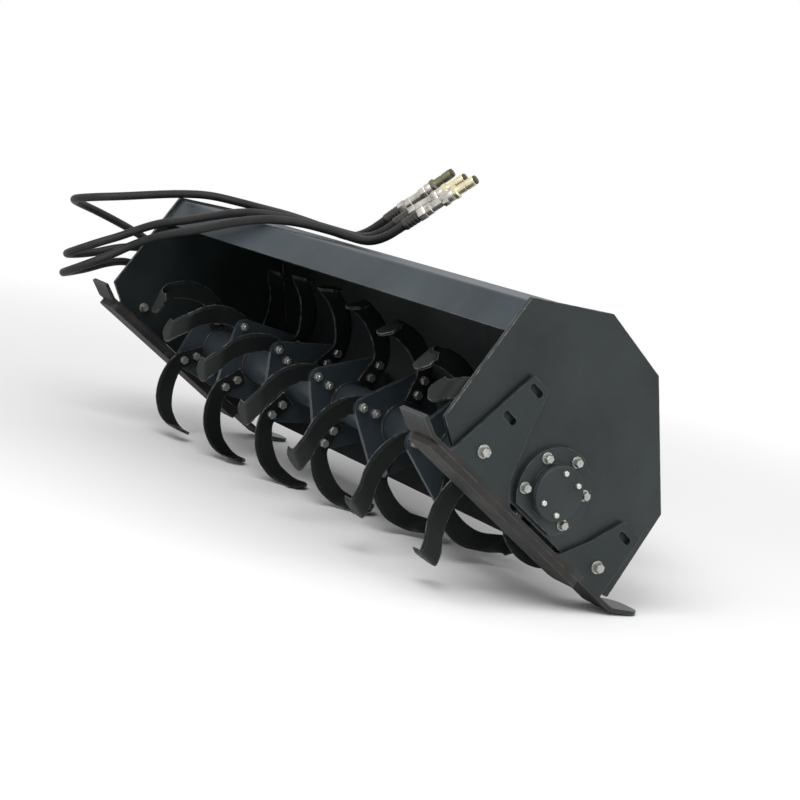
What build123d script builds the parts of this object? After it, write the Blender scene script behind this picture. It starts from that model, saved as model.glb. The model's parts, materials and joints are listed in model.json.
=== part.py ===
from build123d import *
import os
from math import asin, atan2, cos, degrees, hypot, radians, sin, tan

# Rotary tiller for a loader's quick-attach plate, in millimetres.
# It is modelled level: X runs along the rotor, Y to the rear and Z up, with Y = Z = 0 at
# the lower front corner of the end plates. At the end every piece is turned by one angle
# to the way the tiller parks, tipped back on its tine heels and the rear of its skids.

# ---- overall -------------------------------------------------------------------------
width_over_plates = 1829.0
plate_thickness = 10.0
plate_outer = width_over_plates / 2
plate_inner = plate_outer - plate_thickness

# The rotor keeps its distance from the plates' rear edge, and what is round it goes with it.
plate_length = 588.0
rotor_to_rear = 310.0
deck_ahead = 155.0
deck_behind = 46.0
rear_wall_lean = 18.0
rotor_y = plate_length - rotor_to_rear
rotor_z = 84.0

# End plate outline (y, z), from the lower front corner round the rear and over the top.
plate_front_y = -71.0
plate_outline = [
    (0, 0),
    (plate_length, 0),
    (plate_length - rear_wall_lean, 228),
    (rotor_y + deck_behind, 445),
    (rotor_y - deck_ahead, 462),
    (plate_front_y, 350),
    (-60, 32),
]
plate_corner_radius = 6.0

# ---- hood ----------------------------------------------------------------------------
hood_inset = 8.0
hood_skin = 6.0
lip_low_z = 263.0
rear_skirt_low_z = 30.0
hood_bend_radius = 10.0
hood_end_gap = 0.3
hood_seam_gap = 0.3

# ---- rotor ---------------------------------------------------------------------------
tip_radius = 280.0
toe_radius = 272.0
heel_angle = 36.0
toe_angle = 49.0
station_count = 7
end_station_inset = 118.5
tines_per_station = 4
helix_step = 360.0 / (station_count * tines_per_station)
station_pitch = 2 * (plate_inner - end_station_inset) / (station_count - 1)
tube_radius = 53.0
tube_end_gap = 22.0
flange_side = 220.0
flange_corner_radius = 30.0
flange_thickness = 12.0
stub_radius = 30.0
running_clearance = 0.05

# ---- tines ---------------------------------------------------------------------------
tine_thickness = 8.0
tine_reach = 88.0
tine_bend_radius = 42.0
tine_bolt_radii = (85.0, 125.0)
tine_bolt_hole = 7.0
tine_corner_cut = 20.0

# Side view of a tine as points (along the stem from the axis, across it), root first, up
# the leading edge, past the end and back down the trailing edge.
tine_outline = [
    (60, -24),
    (140, -24),
    (179, 0),
    (209, 34),
    (228, 75),
    (234, 120),
    (225, 174),
    (176, 215),
    (188, 167),
    (188, 127),
    (178, 89),
    (160, 54),
    (134, 24),
    (60, 24),
]

# ---- bearing on the right end plate ----------------------------------------------------
housing_radius = 100.0
housing_flat_z = 6.0
housing_thickness = 12.0
hub_radius = 64.0
hub_length = 14.0
cap_thickness = 8.0
stub_past_plate = 20.0

# ---- chain drive on the left end plate -------------------------------------------------
case_depth = 70.0
case_low_radius = 80.0
case_high_radius = 72.0
motor_ahead = 63.0
motor_y = rotor_y - motor_ahead
motor_z = 205.0
cover_thickness = 6.0
cover_inset = 6.0
motor_radius = 54.0
motor_length = 110.0
motor_flange_side = 118.0
motor_flange_thickness = 18.0
port_block = (80.0, 36.0, 112.0)
port_radius = 14.0
port_length = 30.0

# Ports as (distance out from the chain cover, z).
ports = ((110.0, 228.0), (66.0, 205.0), (100.0, 150.0))

# ---- skids ---------------------------------------------------------------------------
skid_side_gap = 5.0
front_bolt_ahead = 216.0
rear_bolt_inset = 88.0
front_bolt = (rotor_y - front_bolt_ahead, 35.0)
rear_bolt = (plate_length - rear_bolt_inset, 31.0)
boss_gap = 0.3
boss_radius = 17.0
boss_bore = 6.5
tab_thickness = 8.0
sole_width = 100.0
sole_top_z = -12.0
sole_thickness = 10.0
sole_ahead = 122.0
sole_front_y = front_bolt[0] - sole_ahead
sole_front_rise = 22.0
sole_front_length = 48.0
sole_behind = 18.0
sole_rear_y = plate_length + sole_behind
sole_rear_rise = 27.0
sole_rear_length = 92.0
sole_rear_rounding = 34.0
wear_bar_thickness = 17.0
wear_bar_inset = 8.0
wear_bar_front_y = sole_front_y + wear_bar_inset
wear_bar_rear_y = rear_bolt[0] - wear_bar_inset
skid_bolt_hole = 8.5
setting_step = 92.0
front_top_step = 176.0
slot_length = 42.0

# The skids' upright tabs: where their feet stand and their corners (y, z), with y from the bolt.
front_tab_feet = (-68.0, 156.0)
front_tab_corners = [(-15, 232), (40, 232), (66, 140), (103, 30)]
rear_tab_feet = (-116.0, 60.0)
rear_tab_corners = [(-60, 60), (-14, 150), (52, 150)]

# ---- quick-attach plate on the rear ------------------------------------------------------
mount_width = 1133.0
mount_thickness = 10.0
mount_stand_off = 10.0
mount_front_y = plate_length + mount_stand_off
mount_low_z = 60.0
mount_high_z = 492.0
hook_bend_radius = 15.0
hook_reach = 30.0
hook_angle = 15.0
shelf_reach = 46.0
pin_slot_inset = 50.5
pin_slot_length = 60.0
pin_slot_width = 26.0
gusset_thickness = 12.0
gusset_count = 4
gusset_inset = 26.5

# ---- hoses ---------------------------------------------------------------------------
hose_radius = 12.0

# Couplers: each step of the outline is a length along the hose end and a radius.
coupler_steps = ((48.0, 15.0), (22.0, 17.0), (86.0, 16.0), (20.0, 18.0), (50.0, 12.0))

# The hoses' routes from the motor's ports to the couplers; x is measured from the chain
# cover's outer face, positive towards the rotor.
hose_routes = {
    "hose_1": [
        (-110, 113, 228), (-110, 46, 228), (-124, -28, 218), (-138, -100, 202), (-136, -172, 182),
        (-108, -230, 162), (-56, -268, 150), (6, -280, 154), (62, -262, 182), (96, -218, 228),
        (108, -156, 290), (110, -90, 352), (118, -22, 408), (164, 42, 444), (256, 76, 462),
        (390, 90, 470), (530, 98, 469), (650, 101, 464), (714, 102, 461), (768, 102, 465),
        (818, 101, 491), (851, 100, 538),
    ],
    "hose_2": [
        (-66, 113, 205), (-66, 50, 205), (-74, -8, 184), (-90, -52, 140), (-104, -88, 88),
        (-92, -134, 44), (-54, -174, 18), (0, -196, 14), (54, -196, 40), (88, -176, 88),
        (108, -146, 146), (134, -122, 204), (192, -110, 250), (290, -102, 282), (410, -98, 322),
        (535, -78, 370), (650, -8, 414), (750, 40, 436), (820, 62, 446), (872, 71, 453),
        (920, 74, 476), (952, 75, 521),
    ],
    "hose_3": [
        (-100, 113, 150), (-100, 54, 150), (-108, 2, 130), (-116, -38, 86), (-112, -74, 34),
        (-88, -116, -8), (-44, -150, -32), (10, -170, -36), (62, -170, -10), (92, -152, 36),
        (110, -130, 92), (134, -112, 150), (186, -102, 200), (270, -100, 236), (380, -98, 268),
        (510, -96, 314), (630, -78, 360), (728, -36, 394), (818, 12, 419), (900, 35, 427),
        (962, 42, 432), (1016, 43, 457), (1052, 44, 505),
    ],
}

parts = []


def keep(label, piece):
    """Put a finished piece on the list, under its node name."""
    parts.append((label, piece))


def station_x(i):
    """X of the rotor's flange number i, counted from the left end."""
    return (i - (station_count - 1) / 2) * station_pitch


def inset_points(points, inset):
    """The corners of a closed clockwise or anticlockwise outline, moved in by inset."""
    count = len(points)
    centre_y = sum(p[0] for p in points) / count
    centre_z = sum(p[1] for p in points) / count
    sides = []
    for i in range(count):
        (y0, z0), (y1, z1) = points[i], points[(i + 1) % count]
        length = hypot(y1 - y0, z1 - z0)
        normal_y, normal_z = (z1 - z0) / length, (y0 - y1) / length
        if (centre_y - y0) * normal_y + (centre_z - z0) * normal_z < 0:
            normal_y, normal_z = -normal_y, -normal_z
        sides.append((normal_y, normal_z, normal_y * y0 + normal_z * z0 + inset))
    moved = []
    for i in range(count):
        (a, b, c), (d, e, f) = sides[i - 1], sides[i]
        det = a * e - b * d
        moved.append(((c * e - b * f) / det, (a * f - c * d) / det))
    return moved


def polar(radius, angle):
    """A point at a radius and an angle in degrees, about the origin."""
    return (radius * cos(radians(angle)), radius * sin(radians(angle)))


def route_radii(points):
    """The arc radius at each inner corner: 0.45 of the shorter run over tan(half turn)."""
    radii = []
    for before, corner, after in zip(points, points[1:], points[2:]):
        run_in, run_out = Vector(*corner) - Vector(*before), Vector(*after) - Vector(*corner)
        turn = radians(run_in.get_angle(run_out))
        radii.append(0.45 * min(run_in.length, run_out.length) / tan(turn / 2))
    return radii


# ---- parked attitude: the plane through two neighbouring tine heels and the skids' rear tips ----
rear_rise = radians(sole_rear_rise)
tail_y = sole_rear_y + sole_rear_length * cos(rear_rise) + sole_thickness * sin(rear_rise)
tail_z = sole_top_z + sole_rear_length * sin(rear_rise) - sole_thickness * cos(rear_rise)
contact_height = tip_radius * cos(radians(helix_step / 2))
span_y = tail_y - rotor_y
span_z = rotor_z - tail_z
park_angle = degrees(asin(contact_height / hypot(span_y, span_z)) - atan2(span_z, span_y))
floor_direction = park_angle - 90.0
contact_station = (station_count - 2) / 2

# ---- end plates ------------------------------------------------------------------------
for side, label in ((1, "end_plate_right"), (-1, "end_plate_left")):
    outer_face = Plane(origin=(side * plate_outer, 0, 0), x_dir=(0, side, 0), z_dir=(side, 0, 0))
    with BuildPart() as end_plate:
        with BuildSketch(Plane.YZ.offset(min(side * plate_inner, side * plate_outer))):
            with BuildLine():
                Polyline(*plate_outline, close=True)
            make_face()
        extrude(amount=plate_thickness)
        fillet(end_plate.edges().filter_by(Axis.X), plate_corner_radius)
        with BuildSketch(Plane.YZ.offset(-plate_outer)):
            with Locations((rotor_y, rotor_z)):
                Circle(tube_radius)
        extrude(amount=width_over_plates, mode=Mode.SUBTRACT)
        with BuildSketch(outer_face):
            with Locations(*[(side * y, z) for y, z in (front_bolt, rear_bolt)]):
                Circle(boss_radius)
        extrude(amount=skid_side_gap - boss_gap)
        with BuildSketch(outer_face.offset(-plate_thickness)):
            with Locations(*[(side * y, z) for y, z in (front_bolt, rear_bolt)]):
                Circle(boss_bore)
        extrude(amount=plate_thickness + skid_side_gap, mode=Mode.SUBTRACT)
    keep(label, end_plate.part)

# ---- hood: one folded sheet for the lip and deck, one for the rear ------------------------
sheet_corners = inset_points(plate_outline, hood_inset)
foot, heel, rear_top, top_rear, top_front, lip_top, lip_foot = sheet_corners
hood_start = Plane.YZ.offset(-(plate_inner - hood_end_gap))
hood_length = 2 * (plate_inner - hood_end_gap)
lip_share = (lip_low_z - lip_foot[1]) / (lip_top[1] - lip_foot[1])
lip_low = (lip_foot[0] + lip_share * (lip_top[0] - lip_foot[0]), lip_low_z)
skirt_share = (rear_skirt_low_z - heel[1]) / (rear_top[1] - heel[1])
skirt_low = (heel[0] + skirt_share * (rear_top[0] - heel[0]), rear_skirt_low_z)
deck_slope = atan2(top_rear[1] - top_front[1], top_rear[0] - top_front[0])
rear_slope = atan2(rear_top[1] - top_rear[1], rear_top[0] - top_rear[0])
seam_back = hood_skin * sin(deck_slope - rear_slope) + hood_seam_gap
deck_end = (top_rear[0] - seam_back * cos(deck_slope), top_rear[1] - seam_back * sin(deck_slope))

with BuildPart() as hood_deck:
    with BuildSketch(hood_start):
        with BuildLine():
            FilletPolyline(lip_low, lip_top, top_front, deck_end, radius=hood_bend_radius)
            offset(amount=hood_skin, side=Side.RIGHT)
        make_face()
    extrude(amount=hood_length)
keep("hood_deck", hood_deck.part)

with BuildPart() as hood_rear:
    with BuildSketch(hood_start):
        with BuildLine():
            FilletPolyline(top_rear, rear_top, skirt_low, radius=hood_bend_radius)
            offset(amount=hood_skin, side=Side.RIGHT)
        make_face()
    extrude(amount=hood_length)
keep("hood_rear", hood_rear.part)


# ---- rotor shaft: tube, stub ends and welded tine flanges ---------------------------------
tube_end = plate_inner - tube_end_gap
stub_left = plate_outer + case_depth / 2
stub_right = plate_outer + stub_past_plate
heel_angles = [floor_direction + (i - contact_station) * helix_step for i in range(station_count)]
root_angles = [angle - heel_angle for angle in heel_angles]
flange_corner_turn = 45.0

with BuildPart() as rotor_shaft:
    with BuildSketch(Plane.YZ.offset(-tube_end)):
        with Locations((rotor_y, rotor_z)):
            Circle(tube_radius)
    extrude(amount=2 * tube_end)
    with BuildSketch(Plane.YZ.offset(-stub_left)):
        with Locations((rotor_y, rotor_z)):
            Circle(stub_radius)
    extrude(amount=stub_left + stub_right)
    for i in range(station_count):
        flange_turn = root_angles[i] + flange_corner_turn
        with BuildSketch(Plane.YZ.offset(station_x(i) - flange_thickness / 2)):
            with Locations(Location((rotor_y, rotor_z, 0), (0, 0, flange_turn))):
                RectangleRounded(flange_side, flange_side, flange_corner_radius)
        extrude(amount=flange_thickness)
        with BuildSketch(Plane.YZ.offset(station_x(i) - flange_thickness / 2)):
            for radius in tine_bolt_radii:
                with Locations(Location((rotor_y, rotor_z, 0), (0, 0, root_angles[i]))):
                    with PolarLocations(radius, tines_per_station):
                        Circle(tine_bolt_hole)
        extrude(amount=flange_thickness, mode=Mode.SUBTRACT)
keep("rotor_shaft", rotor_shaft.part)

# ---- tines: a sickle in side view, crossed with a bend that turns its end along the axle -----
heel = polar(tip_radius, heel_angle)
toe = polar(toe_radius, toe_angle)
edge_turn = atan2(toe[1] - heel[1], toe[0] - heel[0])
leg_normal = degrees(edge_turn) - 90.0
leg_height = heel[0] * cos(radians(leg_normal)) + heel[1] * sin(radians(leg_normal))
tine_span = flange_thickness + tine_reach
tine_end = flange_thickness / 2 + tine_reach


def tine_blade(hand):
    """One tine about the rotor axis, root along +Y; hand is +1 to turn its end to +X."""
    across = Plane(
        origin=(0, 0, 0),
        x_dir=(hand, 0, 0),
        z_dir=(0, hand * cos(edge_turn), hand * sin(edge_turn)),
    )
    with BuildPart() as blade:
        with BuildSketch(Plane.YZ.offset(-tine_span)):
            with BuildLine():
                Polyline(*tine_outline, close=True)
            make_face()
        extrude(amount=2 * tine_span)
        with BuildSketch(across.offset(-tip_radius)):
            with BuildLine():
                FilletPolyline(
                    (flange_thickness / 2, -tip_radius),
                    (flange_thickness / 2, leg_height),
                    (flange_thickness / 2 + tine_reach, leg_height),
                    radius=tine_bend_radius,
                )
                offset(amount=tine_thickness, side=Side.RIGHT)
            make_face()
        extrude(amount=2 * tip_radius, mode=Mode.INTERSECT)
        with BuildSketch(Plane.YZ.offset(-tine_span)):
            with Locations(*[(radius, 0) for radius in tine_bolt_radii]):
                Circle(tine_bolt_hole)
        extrude(amount=2 * tine_span, mode=Mode.SUBTRACT)
        end_face = Plane(origin=(0, 0, 0), x_dir=(hand, 0, 0), z_dir=(0, sin(edge_turn), -cos(edge_turn)))
        with BuildSketch(end_face.offset(leg_height - 2 * tine_thickness)):
            for corner, inward in ((heel, -hand), (toe, hand)):
                along = -hand * (corner[0] * cos(edge_turn) + corner[1] * sin(edge_turn))
                with BuildLine():
                    Polyline(
                        (tine_end - 2 * tine_corner_cut, along - inward * tine_corner_cut),
                        (tine_end + tine_corner_cut, along - inward * tine_corner_cut),
                        (tine_end + tine_corner_cut, along + 2 * inward * tine_corner_cut),
                        close=True,
                    )
                make_face()
        extrude(amount=3 * tine_thickness, mode=Mode.SUBTRACT)
    return blade.part


blades = {1: tine_blade(1), -1: tine_blade(-1)}
for i in range(station_count):
    with BuildPart() as tines:
        for k in range(tines_per_station):
            if i == 0:
                hand = 1
            elif i == station_count - 1:
                hand = -1
            else:
                hand = 1 if k % 2 == 0 else -1
            turn = root_angles[i] + k * 360.0 / tines_per_station
            with Locations(Location((station_x(i), rotor_y, rotor_z), (turn, 0, 0))):
                add(blades[hand])
    keep(f"tines_{i + 1}", tines.part)

# ---- bearing on the right end plate --------------------------------------------------------
bore_radius = stub_radius + running_clearance
with BuildPart() as bearing_housing:
    with BuildSketch(Plane.YZ.offset(plate_outer)):
        with Locations((rotor_y, rotor_z)):
            Circle(housing_radius)
        with Locations((rotor_y, housing_flat_z)):
            Rectangle(2 * housing_radius, 2 * housing_radius, align=(Align.CENTER, Align.MAX), mode=Mode.SUBTRACT)
    extrude(amount=housing_thickness)
    with BuildSketch(Plane.YZ.offset(plate_outer + housing_thickness)):
        with Locations((rotor_y, rotor_z)):
            Circle(hub_radius)
    extrude(amount=hub_length)
    with BuildSketch(Plane.YZ.offset(plate_outer)):
        with Locations((rotor_y, rotor_z)):
            Circle(bore_radius)
    extrude(amount=housing_thickness + hub_length, mode=Mode.SUBTRACT)
keep("bearing_housing", bearing_housing.part)

with BuildPart() as bearing_cap:
    with BuildSketch(Plane.YZ.offset(plate_outer + housing_thickness + hub_length)):
        with Locations((rotor_y, rotor_z)):
            Circle(hub_radius)
    extrude(amount=cap_thickness)
    fillet(bearing_cap.faces().sort_by(Axis.X)[-1].edges(), cap_thickness / 2)
keep("bearing_cap", bearing_cap.part)

# ---- chain drive on the left end plate -------------------------------------------------------
with BuildPart() as chain_case:
    with BuildSketch(Plane.YZ.offset(-plate_outer - case_depth)):
        with Locations((rotor_y, rotor_z)):
            Circle(case_low_radius)
        with Locations((motor_y, motor_z)):
            Circle(case_high_radius)
        make_hull()
    extrude(amount=case_depth)
    with BuildSketch(Plane.YZ.offset(-stub_left)):
        with Locations((rotor_y, rotor_z)):
            Circle(bore_radius)
    extrude(amount=case_depth / 2, mode=Mode.SUBTRACT)
keep("chain_case", chain_case.part)

cover_x = -plate_outer - case_depth
with BuildPart() as chain_cover:
    with BuildSketch(Plane.YZ.offset(cover_x - cover_thickness)):
        with Locations((rotor_y, rotor_z)):
            Circle(case_low_radius - cover_inset)
        with Locations((motor_y, motor_z)):
            Circle(case_high_radius - cover_inset)
        make_hull()
    extrude(amount=cover_thickness)
keep("chain_cover", chain_cover.part)

motor_x = cover_x - cover_thickness
block_width, block_depth, block_height = port_block
block_front_y = motor_y - motor_radius - block_depth / 2
with BuildPart() as drive_motor:
    with BuildSketch(Plane.YZ.offset(motor_x - motor_flange_thickness)):
        with Locations((motor_y, motor_z)):
            RectangleRounded(motor_flange_side, motor_flange_side, motor_flange_thickness)
    extrude(amount=motor_flange_thickness)
    with BuildSketch(Plane.YZ.offset(motor_x - motor_flange_thickness - motor_length)):
        with Locations((motor_y, motor_z)):
            Circle(motor_radius)
    extrude(amount=motor_length)
    port_x = motor_x - sum(out for out, z in ports) / len(ports)
    port_z = (max(z for out, z in ports) + min(z for out, z in ports)) / 2
    with BuildSketch(Plane.XZ.offset(-block_front_y)):
        with Locations((port_x, port_z)):
            Rectangle(block_width, block_height)
    extrude(amount=-(motor_y - block_front_y))
keep("drive_motor", drive_motor.part)

with BuildPart() as motor_ports:
    with BuildSketch(Plane.XZ.offset(-block_front_y)):
        with Locations(*[(motor_x - out, z) for out, z in ports]):
            RegularPolygon(port_radius, 6)
    extrude(amount=port_length)
keep("motor_ports", motor_ports.part)

# ---- skids ---------------------------------------------------------------------------------
tab_x = plate_outer + skid_side_gap
skid_outer = tab_x + tab_thickness
sole_low_z = sole_top_z - sole_thickness
tabs = []
for bolt, feet, corners in (
    (front_bolt, front_tab_feet, front_tab_corners),
    (rear_bolt, rear_tab_feet, rear_tab_corners),
):
    outline = [(feet[0], sole_low_z), *corners, (feet[1], sole_low_z)]
    tabs.append([(bolt[0] + y, z) for y, z in outline])
front_tip = (
    sole_front_y - sole_front_length * cos(radians(sole_front_rise)),
    sole_top_z + sole_front_length * sin(radians(sole_front_rise)),
)
rear_tip = (
    sole_rear_y + sole_rear_length * cos(radians(sole_rear_rise)),
    sole_top_z + sole_rear_length * sin(radians(sole_rear_rise)),
)

for side, name in ((1, "right"), (-1, "left")):
    sole_x = skid_outer - sole_width if side > 0 else -skid_outer
    tab_low_x = tab_x if side > 0 else -skid_outer
    with BuildPart() as skid:
        with BuildSketch(Plane.YZ.offset(sole_x)):
            with BuildLine():
                Polyline(front_tip, (sole_front_y, sole_top_z), (sole_rear_y, sole_top_z), rear_tip)
                offset(amount=sole_thickness, side=Side.RIGHT)
            make_face()
        extrude(amount=sole_width)
        short_edges = skid.edges().filter_by(lambda edge: abs(edge.length - sole_thickness) < 0.01)
        fillet(short_edges.sort_by(Axis.Y)[-2:], sole_rear_rounding)
        for tab in tabs:
            with BuildSketch(Plane.YZ.offset(tab_low_x)):
                with BuildLine():
                    Polyline(*tab, close=True)
                make_face()
            extrude(amount=tab_thickness)
        with BuildSketch(Plane.YZ.offset(tab_low_x)):
            with Locations(front_bolt, rear_bolt):
                Circle(skid_bolt_hole)
            with Locations(
                (front_bolt[0] + 2, front_bolt[1] + setting_step),
                (front_bolt[0] + 14, front_bolt[1] + front_top_step),
                (rear_bolt[0] + 14, rear_bolt[1] + setting_step),
            ):
                SlotOverall(slot_length, 2 * skid_bolt_hole)
        extrude(amount=tab_thickness, mode=Mode.SUBTRACT)
    keep(f"skid_{name}", skid.part)

    with BuildPart() as wear_bar:
        with BuildSketch(Plane.XY.offset(sole_low_z - wear_bar_thickness)):
            with Locations((sole_x + sole_width / 2, (wear_bar_front_y + wear_bar_rear_y) / 2)):
                RectangleRounded(sole_width, wear_bar_rear_y - wear_bar_front_y, sole_width / 5)
        extrude(amount=wear_bar_thickness)
    keep(f"wear_bar_{name}", wear_bar.part)

# ---- quick-attach plate on the rear ----------------------------------------------------------
mount_rear_y = mount_front_y + mount_thickness
pin_slot_x = mount_width / 2 - pin_slot_inset
with BuildPart() as mount_plate:
    with BuildSketch(Plane.YZ.offset(-mount_width / 2)):
        with BuildLine():
            FilletPolyline(
                (mount_rear_y, mount_low_z),
                (mount_rear_y, mount_high_z),
                (
                    mount_rear_y + hook_bend_radius + hook_reach * cos(radians(hook_angle)),
                    mount_high_z - (hook_bend_radius + hook_reach) * sin(radians(hook_angle)),
                ),
                radius=hook_bend_radius,
            )
            offset(amount=mount_thickness, side=Side.LEFT)
        make_face()
    extrude(amount=mount_width)
    with BuildSketch(Plane.XY.offset(mount_low_z)):
        with Locations((0, mount_rear_y)):
            Rectangle(mount_width, shelf_reach, align=(Align.CENTER, Align.MIN))
        with Locations(*[(x, mount_rear_y + shelf_reach / 2) for x in (-pin_slot_x, pin_slot_x)]):
            SlotOverall(pin_slot_length, pin_slot_width, mode=Mode.SUBTRACT)
    extrude(amount=mount_thickness)
keep("mount_plate", mount_plate.part)

gusset_span = mount_width / 2 - gusset_inset
with BuildPart() as mount_gussets:
    for i in range(gusset_count):
        x = gusset_span * (2 * i / (gusset_count - 1) - 1)
        with BuildSketch(Plane.YZ.offset(x - gusset_thickness / 2)):
            with BuildLine():
                Polyline(
                    skirt_low,
                    rear_top,
                    top_rear,
                    (mount_front_y, mount_high_z - mount_thickness),
                    (mount_front_y, mount_low_z),
                    close=True,
                )
            make_face()
        extrude(amount=gusset_thickness)
keep("mount_gussets", mount_gussets.part)

# ---- hoses and their couplers ------------------------------------------------------------------
for name, route_points in hose_routes.items():
    points = [(motor_x + x, y, z) for x, y, z in route_points]
    with BuildPart() as hose:
        with BuildLine() as route:
            FilletPolyline(*points, radius=route_radii(points))
        path = route.wires()[0]
        with BuildSketch(Plane(origin=path @ 0, z_dir=path % 0)):
            Circle(hose_radius)
        sweep()
    keep(name, hose.part)
    with BuildPart() as coupler:
        reach = 0.0
        for step_length, step_radius in coupler_steps:
            start = Vector(*points[-1]) + (path % 1) * reach
            with BuildSketch(Plane(origin=start, z_dir=path % 1)):
                Circle(step_radius)
            extrude(amount=step_length)
            reach += step_length
    keep(name.replace("hose", "coupler"), coupler.part)

# ---- write the pieces in the parked attitude ----------------------------------------------
on_hoses = ("hose_", "coupler_")
parked = Location((0, 0, 0), (-park_angle, 0, 0))
rigid = Compound(children=[parked * piece for label, piece in parts if not label.startswith(on_hoses)])
box = rigid.bounding_box()
rest = Location((-box.center().X, -box.center().Y, -box.min.Z)) * parked
os.makedirs("parts", exist_ok=True)
for label, piece in parts:
    placed = rest * piece
    placed.label = label
    export_step(placed, f"parts/{label}.step")
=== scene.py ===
"""Looks of a rotary tiller for a loader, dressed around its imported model.

The sizes below are in millimetres of the machine standing level: X along the rotor, Y to the
rear and Z up, with Y = Z = 0 at the lower front corner of the end plates. Machine turns them
into metres of the parked tiller.
"""

from __future__ import annotations

import json
import logging
import math
from dataclasses import dataclass, replace
from enum import Enum
from typing import Any, Sequence

import bmesh
import bpy
from mathutils import Matrix, Vector

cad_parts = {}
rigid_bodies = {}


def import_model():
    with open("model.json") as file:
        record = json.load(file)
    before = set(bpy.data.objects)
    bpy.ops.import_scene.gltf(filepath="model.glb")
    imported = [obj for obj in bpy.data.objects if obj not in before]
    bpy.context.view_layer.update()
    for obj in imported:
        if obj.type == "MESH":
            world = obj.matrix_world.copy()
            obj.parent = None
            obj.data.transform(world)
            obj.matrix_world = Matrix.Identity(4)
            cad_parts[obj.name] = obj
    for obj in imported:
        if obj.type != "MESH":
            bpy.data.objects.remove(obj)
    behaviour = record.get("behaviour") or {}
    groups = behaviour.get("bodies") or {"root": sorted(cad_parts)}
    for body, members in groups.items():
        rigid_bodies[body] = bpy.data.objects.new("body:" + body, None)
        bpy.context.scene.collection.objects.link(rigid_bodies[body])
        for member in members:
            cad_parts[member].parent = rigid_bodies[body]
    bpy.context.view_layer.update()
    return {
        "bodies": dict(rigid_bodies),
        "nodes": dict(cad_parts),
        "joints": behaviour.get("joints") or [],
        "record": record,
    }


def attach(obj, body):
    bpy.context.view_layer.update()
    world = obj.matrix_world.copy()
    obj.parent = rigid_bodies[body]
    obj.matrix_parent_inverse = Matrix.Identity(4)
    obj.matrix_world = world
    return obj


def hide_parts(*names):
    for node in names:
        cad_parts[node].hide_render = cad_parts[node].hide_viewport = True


LOG = logging.getLogger("tiller")

Point = tuple[float, float, float]
Pair = tuple[float, float]
Colour = tuple[float, float, float]

MM = 0.001
WHITE: Colour = (1.0, 1.0, 1.0)
SIDES = ((1, "right"), (-1, "left"))

# Marks per metre along X, Y and Z: scratches run along the machine, and a sole's lanes
# run from its front to its rear.
SCRATCHES: Point = (14.0, 130.0, 90.0)
LANES: Point = (60.0, 5.0, 5.0)

# What a paint's channels are multiplied by where it has faded, stayed deep or been rubbed.
FADED: Colour = (1.50, 1.46, 1.42)
DEEPENED: Colour = (0.68, 0.70, 0.73)
RUBBED: Colour = (2.2, 2.1, 2.0)


# ---- shader maths ---------------------------------------------------------------------------


class Socket:
    """A node's output. Python arithmetic on one that carries a number adds Math nodes."""

    def __init__(self, nodes: "Nodes", link: bpy.types.NodeSocket) -> None:
        """Wrap an output of a node in that tree."""
        self.nodes = nodes
        self.link = link

    def math(self, operation: str, first: Any, second: Any = 0.0, clamp: bool = False) -> "Socket":
        """Add one Math node and return its result."""
        settings = {"operation": operation, "use_clamp": clamp}
        return self.nodes.node("ShaderNodeMath", settings, {0: first, 1: second})

    def __add__(self, other: Any) -> "Socket":
        """Sum."""
        return self.math("ADD", self, other)

    __radd__ = __add__

    def __sub__(self, other: Any) -> "Socket":
        """Difference."""
        return self.math("SUBTRACT", self, other)

    def __rsub__(self, other: Any) -> "Socket":
        """Difference from a plain number."""
        return self.math("SUBTRACT", other, self)

    def __mul__(self, other: Any) -> "Socket":
        """Product."""
        return self.math("MULTIPLY", self, other)

    __rmul__ = __mul__

    def __truediv__(self, other: Any) -> "Socket":
        """Quotient."""
        return self.math("DIVIDE", self, other)

    def clamped(self) -> "Socket":
        """The value held between 0 and 1."""
        return self.math("ADD", self, 0.0, clamp=True)

    def band(self, low: float, high: float) -> "Socket":
        """A mask: 0 below low, 1 above high and straight between them."""
        return ((self - low) / (high - low)).clamped()


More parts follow.
